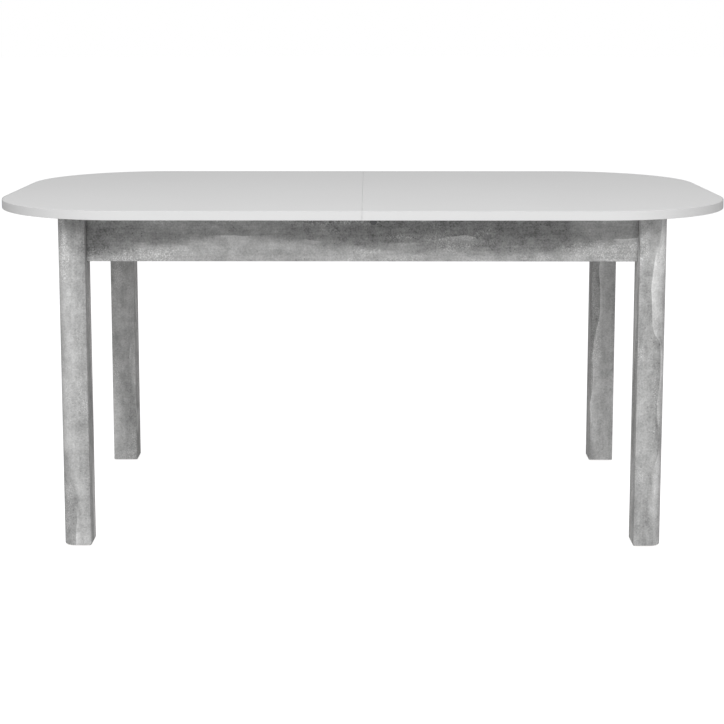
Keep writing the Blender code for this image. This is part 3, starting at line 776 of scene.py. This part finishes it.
def build_long_apron(face):
    """Long apron, bored for the cover cap and mortised for the leaf's bearers."""
    low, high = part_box("apron_rear")
    cap_low, cap_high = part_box(f"cover_cap_{face}")
    cap_middle = (cap_low + cap_high) / 2
    cap_radius = (cap_high - cap_low).x / 2
    tools = [tenon_mortise(x_side, low.y) for x_side in ENDS.values()]
    bore_place = (cap_middle.x, high.y + OVERCUT, cap_middle.z)
    turn = (math.pi / 2, 0, 0)
    tools.append(moved(rod(cap_radius + GAP, 0, CAP_BORE_DEPTH + OVERCUT, ROUND_STEPS), bore_place, turn))
    tools.append(moved(rod(STOP_BORE_RADIUS, 0, STOP_BORE_DEPTH), bore_place, turn))
    apron = combined(soften(block(low, high), FOIL_ARRIS, 3), tools)
    apron = mirrored(apron, 1, FACES[face])
    nodes = [f"apron_{face}"]
    new_piece(f"long_apron_{face}", apron, "frame", FOIL_X_PAINTED_SHADE, nodes, CHIPBOARD, is_raw_edge)


for end in ENDS:
    build_end_apron(end)
for face in FACES:
    build_long_apron(face)


# ----------------------------------------------------------- corner fasteners


def thick_line(points, thickness, radius):
    """Closed outline of a bent sheet: the line through points, its corners rounded, given a thickness."""
    line = [Vector(points[0])]
    for before, corner, after in zip(points, points[1:], points[2:]):
        corner = Vector(corner)
        inward = (Vector(before) - corner).normalized()
        outward = (Vector(after) - corner).normalized()
        half = inward.angle(outward) / 2
        centre = corner + (inward + outward).normalized() * radius / math.sin(half)
        start = corner + inward * radius / math.tan(half) - centre
        stop = corner + outward * radius / math.tan(half) - centre
        shares = [step / BEND_STEPS for step in range(BEND_STEPS + 1)]
        line += [centre + start.slerp(stop, share) * radius for share in shares]
    line.append(Vector(points[-1]))
    left, right = [], []
    for number, point in enumerate(line):
        before = line[max(number - 1, 0)]
        after = line[min(number + 1, len(line) - 1)]
        across = (after - before).normalized().orthogonal() * thickness / 2
        left.append(point + across)
        right.append(point - across)
    return [tuple(point) for point in left + right[::-1]]


def screw_head(radius, height, countersunk):
    """Head of a cross-recess screw, its flat side at Z 0 and its recess facing +Z.

    The numbers are shares of the head's radius and height.
    """
    if countersunk:
        cone = [(radius * 0.5, -height), (radius, -height * 0.12), (radius, 0)]
        head = lathe([(0, -height), *cone, (0, 0)], SMALL_STEPS)
    else:
        side = [(radius, 0), (radius, height * 0.35)]
        dome = [(radius * 0.9, height * 0.72), (radius * 0.66, height * 0.94)]
        head = lathe([(0, 0), *side, *dome, (0, height)], SMALL_STEPS)
    top = 0 if countersunk else height
    long, short, depth = radius * 0.56, radius * 0.13, height * 0.7
    cross = [
        block((-long, -short, top - depth), (long, short, top + OVERCUT)),
        block((-short, -long, top - depth), (short, long, top + OVERCUT)),
    ]
    return combined(head, cross)


def copies(shape, places):
    """Copies of a shape, each turned by X, Y and Z angles and set at a place."""
    made = [moved(shape.copy(), place, turn) for place, turn in places]
    shape.free()
    return joined(made)


def leg_corner():
    """Inner corner of the rear right leg, at the height of its hanger bolt."""
    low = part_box("leg_rear_right")[0]
    bolt_low, bolt_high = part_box("hanger_bolt_rear_right")
    return Vector((low.x, low.y, (bolt_low.z + bolt_high.z) / 2))


def bracket_shape():
    """Bent corner bracket with its bolt hole, for the rear right corner."""
    low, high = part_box("corner_bracket_rear_right")
    face_x, face_y = high.x - BRACKET_SHEET / 2, high.y - BRACKET_SHEET / 2
    points = [
        (low.x, face_y),
        (low.x + BRACKET_FLANGE, face_y),
        (face_x, low.y + BRACKET_FLANGE),
        (face_x, low.y),
    ]
    outline = thick_line(points, BRACKET_SHEET, BRACKET_BEND)
    plate = soften(prism(outline, low.z, high.z), METAL_ARRIS, 2)
    hole = moved(rod(BOLT_RADIUS + 2 * GAP, 0, 3 * BRACKET_SHEET + BRACKET_GAP), leg_corner(), INWARD)
    return combined(plate, [hole])


def bracket_screws():
    """Two pan-head screws through each flange of the rear right bracket."""
    low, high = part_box("corner_bracket_rear_right")
    middle_z = (low.z + high.z) / 2
    places = []
    for up in (-1, 1):
        z = middle_z + up * BRACKET_SCREW_SPREAD
        places.append(((low.x + BRACKET_SCREW_INSET, high.y - BRACKET_SHEET, z), (math.pi / 2, 0, 0)))
        places.append(((high.x - BRACKET_SHEET, low.y + BRACKET_SCREW_INSET, z), (0, -math.pi / 2, 0)))
    return copies(screw_head(*BRACKET_SCREW, countersunk=False), places)


def hanger_bolt_shape():
    """Hanger bolt, pointed in the leg and with a machine thread towards the frame's middle."""
    root = BOLT_RADIUS - THREAD_DEPTH
    profile = [(0, -BOLT_IN_LEG), (BOLT_POINT_RADIUS, -BOLT_IN_LEG)]
    profile += [(BOLT_RADIUS, BOLT_POINT - BOLT_IN_LEG), (BOLT_RADIUS, THREAD_START - BOLT_NECK)]
    for number in range(int((BOLT_IN_FRAME - THREAD_START - BOLT_NECK) / THREAD_PITCH)):
        height = THREAD_START + number * THREAD_PITCH
        profile.append((root, height))
        profile += [(BOLT_RADIUS, height + THREAD_PITCH * share) for share in THREAD_CREST_SHARES]
    profile += [(root, BOLT_IN_FRAME - THREAD_DEPTH), (root - THREAD_DEPTH, BOLT_IN_FRAME)]
    profile.append((0, BOLT_IN_FRAME))
    return moved(lathe(profile), leg_corner(), INWARD)


def nut_shape():
    """Hexagon nut with both faces chamfered, against the rear right bracket."""
    corner_radius = NUT_ACROSS / math.sqrt(3)
    corners = arc(0, 0, corner_radius, 0, 300, 5)  # six, 60 degrees apart
    hexagon = prism(corners, 0, NUT_HEIGHT)
    face_radius = NUT_ACROSS * NUT_FACE_SHARE
    rim_radius = corner_radius + METAL_ARRIS
    slope = NUT_HEIGHT * NUT_CHAMFER_SHARE
    profile = [(0, 0), (face_radius, 0), (rim_radius, slope)]
    profile += [(rim_radius, NUT_HEIGHT - slope), (face_radius, NUT_HEIGHT), (0, NUT_HEIGHT)]
    nut = combined(hexagon, [lathe(profile, 2 * ROUND_STEPS)], "INTERSECT")
    nut = combined(nut, [rod(BOLT_RADIUS + GAP, -OVERCUT, NUT_HEIGHT + OVERCUT)])
    reach = (BRACKET_GAP + BRACKET_SHEET + GAP) / math.sqrt(2)
    return moved(nut, leg_corner() - Vector((reach, reach, 0)), INWARD)


def glide_shape():
    """Nylon glide with a rounded rim, a dished underside and its stem, under the rear right leg."""
    low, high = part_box("glide_rear_right")
    radius = (high.x - low.x) / 2
    flat = radius - GLIDE_ROUND
    dish_radius, ring_radius = [radius * share for share in GLIDE_DISH_SHARES]
    profile = [(0, GLIDE_DISH), (dish_radius, GLIDE_DISH), (ring_radius, 0.0), (flat, 0.0)]
    profile += [(flat + x, z) for x, z in arc(0, GLIDE_ROUND, GLIDE_ROUND, -60, 0, 4)]
    profile += [(radius, GLIDE_THICKNESS - GLIDE_DISH), (radius - GLIDE_DISH, GLIDE_THICKNESS)]
    profile += [(BOLT_RADIUS, GLIDE_THICKNESS), (BOLT_RADIUS, high.z - STEM_CHAMFER)]
    profile += [(BOLT_RADIUS - STEM_CHAMFER, high.z), (0, high.z)]
    return moved(lathe(profile, 2 * ROUND_STEPS), ((low.x + high.x) / 2, (low.y + high.y) / 2, 0))


CORNER_SHAPES = {
    "steel_bracket": (bracket_shape, "corner_bracket", "zinc_steel", ZINC),
    "bracket_screws": (bracket_screws, None, "zinc_steel", ZINC),
    "threaded_bolt": (hanger_bolt_shape, "hanger_bolt", "zinc_steel", ZINC),
    "hexagon_nut": (nut_shape, "bracket_nut", "zinc_steel", ZINC),
    "foot_glide": (glide_shape, "glide", "grey_nylon", NYLON),
}


def build_corner(face, end):
    """Everything that fastens one leg, drawn at the rear right and mirrored into place."""
    for name, (shape_of, node, slot, material) in CORNER_SHAPES.items():
        shape = mirrored(shape_of(), ENDS[end], FACES[face])
        nodes = [f"{node}_{face}_{end}"] if node else []
        new_piece(f"{name}_{face}_{end}", shape, "frame", material, nodes)


for end in ENDS:
    for face in FACES:
        build_corner(face, end)


# ---------------------------------------------------------------------- slides


def extruded(section, low_x, high_x):
    """Solid whose section lies in the YZ plane, from one X to another."""
    return moved(prism(section, low_x, high_x), (0, 0, 0), ALONG_X)


def channel_section(tip, web, floor, ceiling, sheet, bend):
    """Outline of a rolled channel, from the Y of its flanges' tips and web and the Z of its flanges."""
    return thick_line([(tip, ceiling), (web, ceiling), (web, floor), (tip, floor)], sheet, bend)


def channel(node, opens):
    """Rolled channel that fills a CAD node's box. It opens towards +Y or -Y."""
    low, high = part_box(node)
    half = RAIL_SHEET / 2
    tip, web = (low.y, high.y - half) if opens < 0 else (high.y, low.y + half)
    section = channel_section(tip, web, low.z + half, high.z - half, RAIL_SHEET, RAIL_BEND)
    return soften(extruded(section, low.x, high.x), METAL_ARRIS / 2, 1)


def web_slots(low, high, y):
    """Cutters for the long holes through a channel's web."""
    radius = SLOT_HEIGHT / 2
    half = SLOT_LENGTH / 2 - radius
    outline = arc(half, 0, radius, -90, 90, SLOT_STEPS) + arc(-half, 0, radius, 90, 270, SLOT_STEPS)
    made = []
    for share in SLOT_SHARES:
        place = (low.x + (high.x - low.x) * share, y, (low.z + high.z) / 2)
        made.append(moved(prism(outline, -OVERCUT, OVERCUT), place, (math.pi / 2, 0, 0)))
    return made


def rail_screw_seat():
    """Cutter for one countersunk screw in a channel's web, its head's flat side at Z 0."""
    radius, height = RAIL_SCREW
    foot = -RAIL_SHEET - OVERCUT
    profile = [(0, foot), (RAIL_SCREW_BORE, foot), (RAIL_SCREW_BORE, -height)]
    profile += [(radius + GAP, 0), (radius + GAP, OVERCUT), (0, OVERCUT)]
    return lathe(profile)


def build_fixed_slide(face, end):
    """Fixed channel with its slots and its flush screws."""
    node = "slide_fixed_rear_right"
    low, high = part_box(node)
    places = []
    for share in RAIL_SCREW_SHARES:
        place = (low.x + (high.x - low.x) * share, high.y - RAIL_SHEET, (low.z + high.z) / 2)
        places.append((place, (math.pi / 2, 0, 0)))
    seats = [moved(rail_screw_seat(), place, turn) for place, turn in places]
    rail = combined(channel(node, -1), web_slots(low, high, high.y) + seats)
    rail = mirrored(rail, ENDS[end], FACES[face])
    nodes = [f"slide_fixed_{face}_{end}"]
    new_piece(f"rail_fixed_{face}_{end}", rail, "frame", RAIL, nodes)
    screws = copies(screw_head(*RAIL_SCREW, countersunk=True), places)
    screws = mirrored(screws, ENDS[end], FACES[face])
    new_piece(f"rail_screws_{face}_{end}", screws, "frame", ZINC)


def build_moving_slide(face, end):
    """Moving channel with its slots."""
    node = "slide_moving_rear_right"
    low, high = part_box(node)
    rail = combined(channel(node, 1), web_slots(low, high, low.y))
    rail = mirrored(rail, ENDS[end], FACES[face])
    nodes = [f"slide_moving_{face}_{end}"]
    new_piece(f"rail_moving_{face}_{end}", rail, f"{end}_top", RAIL, nodes)


def ball_shape(radius):
    """Smooth ball about its own origin."""
    ball = bmesh.new()
    bmesh.ops.create_icosphere(ball, subdivisions=3, radius=radius)
    return ball


def build_cage(face, end):
    """Ball cage with a window round each ball, and its balls."""
    low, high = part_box("ball_cage_rear_right")
    slide_low, slide_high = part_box("slide_fixed_rear_right")
    middle_x, middle_z = (low.x + high.x) / 2, (slide_low.z + slide_high.z) / 2
    floor, ceiling = middle_z - BALL_ROW, middle_z + BALL_ROW
    ball_y = slide_high.y + GAP - BALL_DEPTH
    places = []
    for number in range(BALLS_PER_ROW):
        x = middle_x + (number - (BALLS_PER_ROW - 1) / 2) * BALL_PITCH
        places += [(x, ball_y, floor), (x, ball_y, ceiling)]
    section = channel_section(low.y, high.y - CAGE_SHEET / 2, floor, ceiling, CAGE_SHEET, CAGE_BEND)
    windows = [moved(ball_shape(BALL_RADIUS + GAP), place) for place in places]
    cage = combined(extruded(section, low.x, high.x), windows)
    cage = mirrored(cage, ENDS[end], FACES[face])
    body = f"{end}_cages"
    new_piece(f"cage_strip_{face}_{end}", cage, body, CAGE, [f"ball_cage_{face}_{end}"])
    balls = joined([moved(ball_shape(BALL_RADIUS), place) for place in places])
    balls = mirrored(balls, ENDS[end], FACES[face])
    new_piece(f"cage_balls_{face}_{end}", balls, body, BALL)


def build_batten(face, end):
    """Beech batten that carries a moving channel, with its screws up into the top."""
    low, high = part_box("batten_rear_right")
    batten = mirrored(soften(block(low, high), WOOD_ARRIS, 3), ENDS[end], FACES[face])
    body = f"{end}_top"
    nodes = [f"batten_{face}_{end}"]
    new_piece(f"beech_batten_{face}_{end}", batten, body, BEECH_X, nodes)
    places = []
    for share in BATTEN_SCREW_SHARES:
        place = (low.x + (high.x - low.x) * share, (low.y + high.y) / 2, low.z)
        places.append((place, (math.pi, 0, 0)))
    screws = copies(screw_head(*BATTEN_SCREW, countersunk=False), places)
    screws = mirrored(screws, ENDS[end], FACES[face])
    new_piece(f"batten_screws_{face}_{end}", screws, body, ZINC)


for end in ENDS:
    for face in FACES:
        build_fixed_slide(face, end)
        build_moving_slide(face, end)
        build_cage(face, end)
        build_batten(face, end)


# ------------------------------------------------------------ stop blocks and caps


def build_stop(face):
    """Stop block with rounded edges, bored for its bolt."""
    stop = soften(block(*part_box(f"stop_block_{face}")), WOOD_ARRIS, 3)
    bolt_low, bolt_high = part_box(f"stop_bolt_{face}")
    bore = rod(STOP_BORE_RADIUS, -STOP_BORE_REACH, STOP_BORE_REACH)
    bore = moved(bore, (bolt_low + bolt_high) / 2, (math.pi / 2, 0, 0))
    stop = combined(stop, [bore])
    new_piece(f"sliding_stop_{face}", stop, "frame", DARK, [f"stop_block_{face}"])


def build_cap(face):
    """Domed cover cap in a long apron."""
    y_side = FACES[face]
    low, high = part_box(f"cover_cap_{face}")
    middle = (low + high) / 2
    radius = (high.x - low.x) / 2
    apron_y = max(abs(corner.y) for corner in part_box(f"apron_{face}"))
    proud = max(abs(low.y), abs(high.y)) - apron_y
    depth = high.y - low.y - proud
    profile = [(0, -depth), (radius - GAP, -depth), (radius, -depth + GAP)]
    for angle in CAP_DOME_ANGLES:
        rise = CAP_RIM_SHARE + (1 - CAP_RIM_SHARE) * math.sin(angle)
        profile.append((radius * math.cos(angle), proud * rise))
    profile.append((0, proud))
    place = (middle.x, y_side * apron_y, middle.z)
    cap = moved(lathe(profile, 2 * ROUND_STEPS), place, (-y_side * math.pi / 2, 0, 0))
    new_piece(f"domed_cap_{face}", cap, "frame", DARK, [f"cover_cap_{face}"])


for face in FACES:
    build_stop(face)
    build_cap(face)


# ------------------------------------------------------------- spare leaf and pins


def pin_shape(length):
    """Steel pin with rounded tips, centred on its own origin along Z."""
    half = length / 2
    nose = [(PIN_RADIUS - PIN_TIP + x, half - PIN_TIP + z) for x, z in arc(0, 0, PIN_TIP, 0, 90, 5)]
    tail = [(x, -z) for x, z in reversed(nose)]
    return lathe([(0, -half), *tail, *nose, (0, half)])


def build_pin(name, node, body, turn):
    """Alignment pin that stands for a CAD one."""
    low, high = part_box(node)
    length = max(high - low)
    pin = moved(pin_shape(length), (low + high) / 2, turn)
    new_piece(name, pin, body, ZINC, [node])


def is_leaf_rim(edge, x_side):
    """True for a level edge of a leaf's end band on its outer side."""
    outward = [face for face in edge.link_faces if face.normal.x * x_side > LEVEL_SLOPE]
    return bool(outward) and is_level_rim(edge)


def leaf_bores():
    """Bores in the leaf's long edges, for its own pins and for those of the top."""
    low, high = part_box("spare_leaf")
    bores = []
    for x_side in ENDS.values():
        for y, y_side in ((low.y, -1), (high.y, 1)):
            place = (x_side * PIN_Y, y + y_side * OVERCUT, (low.z + high.z) / 2)
            bore = rod(PIN_RADIUS + GAP, 0, PIN_DEPTH + OVERCUT)
            bores.append(moved(bore, place, (y_side * math.pi / 2, 0, 0)))
    return bores


def build_leaf():
    """Spare leaf with its long-edge bands, end bands and pins."""
    low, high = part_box("spare_leaf")
    inset = SEAM_BAND + FINE_ARRIS / 2
    board = block((low.x, low.y + inset, low.z), (high.x, high.y - inset, high.z))
    board = combined(soften(board, FINE_ARRIS, 1), leaf_bores())
    new_piece("leaf_board", board, "leaf", MELAMINE, ["spare_leaf"])
    for face, start_y in (("front", low.y), ("rear", high.y - SEAM_BAND)):
        band = block((low.x, start_y, low.z), (high.x, start_y + SEAM_BAND, high.z))
        band = combined(soften(band, FINE_ARRIS, 2), leaf_bores())
        new_piece(f"leaf_long_band_{face}", band, "leaf", ABS)
    for end, x_side in ENDS.items():
        node = f"leaf_edge_band_{end}"
        band = soften(block(*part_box(node)), BAND_ARRIS, 4, lambda edge: is_leaf_rim(edge, x_side))
        new_piece(f"leaf_end_band_{end}", band, "leaf", ABS, [node])
        build_pin(f"leaf_dowel_{end}", f"leaf_pin_{end}", "leaf", (math.pi / 2, 0, 0))


def build_bearer(end):
    """Beech bearer with rounded edges, its end stops and its tenons."""
    low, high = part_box("leaf_bearer_right")
    shoulder = high.y - TENON_LENGTH
    top = low.z + BEARER_HEIGHT
    tenon_low = low.z + TENON_MIDDLE - TENON_HALF_HEIGHT
    tenon_high = low.z + TENON_MIDDLE + TENON_HALF_HEIGHT
    rear_half = [
        (shoulder, low.z),
        (shoulder, tenon_low),
        (high.y, tenon_low),
        (high.y, tenon_high),
        (shoulder, tenon_high),
        (shoulder, top),
        (END_STOP_OUTER_Y, top),
        (END_STOP_OUTER_Y, high.z),
        (END_STOP_INNER_Y, high.z),
        (END_STOP_INNER_Y, top),
    ]
    outline = rear_half + [(-y, z) for y, z in reversed(rear_half)]
    bearer = soften(extruded(outline, low.x, high.x), METAL_ARRIS * 2, 2)
    bearer = mirrored(bearer, ENDS[end], 1)
    new_piece(f"beech_bearer_{end}", bearer, "frame", BEECH_Y, [f"leaf_bearer_{end}"])


build_leaf()
for end in ENDS:
    build_bearer(end)
for face in FACES:
    build_pin(f"seam_dowel_{face}", f"seam_pin_{face}", "left_top", (0, math.pi / 2, 0))

for face in FACES:
    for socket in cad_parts[f"stop_bolt_{face}"].material_slots:
        socket.material = ZINC


# ---------------------------------------------------- floor, light and camera


def build_floor():
    """Wide pale floor, lit evenly so that it merges with the surround."""
    shape = bmesh.new()
    bmesh.ops.create_circle(shape, cap_ends=True, radius=FLOOR_RADIUS, segments=FLOOR_STEPS)
    floor = object_of("studio_floor", shape)
    material = bpy.data.materials.new("pale_floor")
    material.use_nodes = True
    tree = material.node_tree
    tree.nodes.clear()
    seen = add(tree, "ShaderNodeLightPath").outputs["Is Camera Ray"]
    strength = maths(tree, "MULTIPLY", seen, FLOOR_GLOW)
    glow = add(tree, "ShaderNodeEmission", {"Color": (1, 1, 1, 1), "Strength": strength})
    matt = add(tree, "ShaderNodeBsdfDiffuse", {"Color": (FLOOR_TONE, FLOOR_TONE, FLOOR_TONE, 1)})
    both = add(tree, "ShaderNodeAddShader", {0: glow.outputs[0], 1: matt.outputs[0]})
    add(tree, "ShaderNodeOutputMaterial", {"Surface": both.outputs[0]})
    floor.data.materials.append(material)


def build_world():
    """White surround that lights the table evenly from all sides."""
    world = bpy.data.worlds.new("studio")
    bpy.context.scene.world = world
    world.use_nodes = True
    tree = world.node_tree
    seen = add(tree, "ShaderNodeLightPath").outputs["Is Camera Ray"]
    strength = raised(tree, SURROUND_LIGHT, seen, SURROUND_SEEN)
    background = tree.nodes["Background"]
    background.inputs["Color"].default_value = (1, 1, 1, 1)
    tree.links.new(strength, background.inputs["Strength"])


def build_softbox(name, place, power):
    """Large soft light that faces the table."""
    light = bpy.data.lights.new(name, "AREA")
    light.shape = "RECTANGLE"
    light.size, light.size_y = SOFTBOX_SIZE
    light.energy = power
    lamp = bpy.data.objects.new(name, light)
    bpy.context.scene.collection.objects.link(lamp)
    lamp.location = place
    aim = Vector(SOFTBOX_AIM) - Vector(place)
    lamp.rotation_euler = aim.to_track_quat("-Z", "Y").to_euler()
    lamp.visible_camera = False


def build_camera():
    """Camera in front of the table, a little above its top, with a slightly shifted lens."""
    data = bpy.data.cameras.new("front_camera")
    data.sensor_width = CAMERA_SENSOR
    data.lens = CAMERA_LENS
    data.shift_y = CAMERA_SHIFT
    camera = bpy.data.objects.new("front_camera", data)
    bpy.context.scene.collection.objects.link(camera)
    camera.location = CAMERA_PLACE
    camera.rotation_euler = (math.pi / 2 - CAMERA_DOWN, 0, CAMERA_LEFT)
    bpy.context.scene.camera = camera


build_floor()
build_world()
build_softbox("front_softbox", FRONT_SOFTBOX_PLACE, FRONT_SOFTBOX_POWER)
build_softbox("rear_softbox", REAR_SOFTBOX_PLACE, REAR_SOFTBOX_POWER)
build_camera()
bpy.context.scene.view_settings.view_transform = "Standard"
